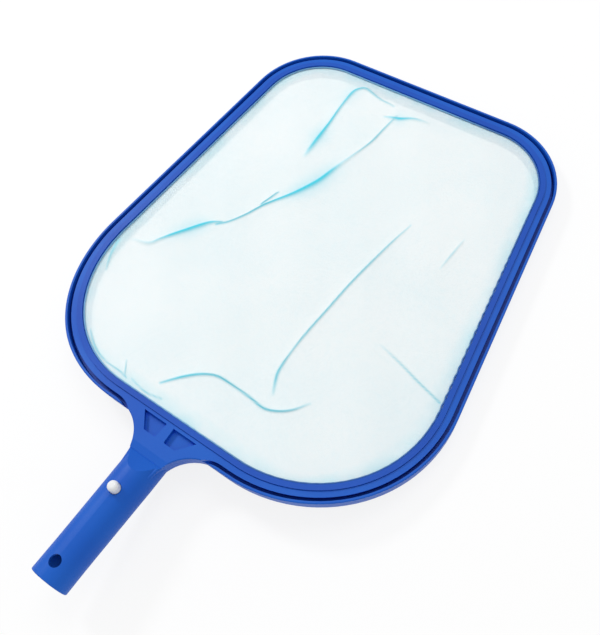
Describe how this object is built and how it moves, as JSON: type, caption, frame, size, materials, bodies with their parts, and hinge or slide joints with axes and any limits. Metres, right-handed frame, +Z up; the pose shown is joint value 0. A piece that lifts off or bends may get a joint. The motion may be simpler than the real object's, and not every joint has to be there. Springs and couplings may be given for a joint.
{
  "type": "leaf skimmer net",
  "caption": "Flat leaf skimmer head: rounded, tapered frame with a fine net, a webbed neck and a hollow, tapered handle with a snap button that locks in a pole.",
  "frame": {"origin": "middle of the whole part, at the level it rests on", "axes": "+X across the net, +Y from the handle to the far end of the net, +Z up"},
  "size_m": [0.295, 0.4409, 0.0464],
  "materials": {
    "frame_plastic": "satin",
    "strip_plastic": "satin",
    "net_mesh": "matte",
    "hem_cord": "matte",
    "button_plastic": "gloss",
    "spring_steel": "satin"
  },
  "bodies": {
    "head": {"frame": "frame_plastic", "net_retaining_strip": "strip_plastic", "net": "net_mesh", "net_hem": "hem_cord", "button_spring": "spring_steel"},
    "button": {"snap_button": "button_plastic"}
  },
  "joints": [
    {"name": "button_press", "type": "slide", "parent": "head", "child": "button", "axis": [0, -0.1409, -0.99], "range_m": [0, 0.0065], "stiffness_N_per_m": 800, "springref_m": -0.006, "deforming": ["button_spring"]}
  ]
}
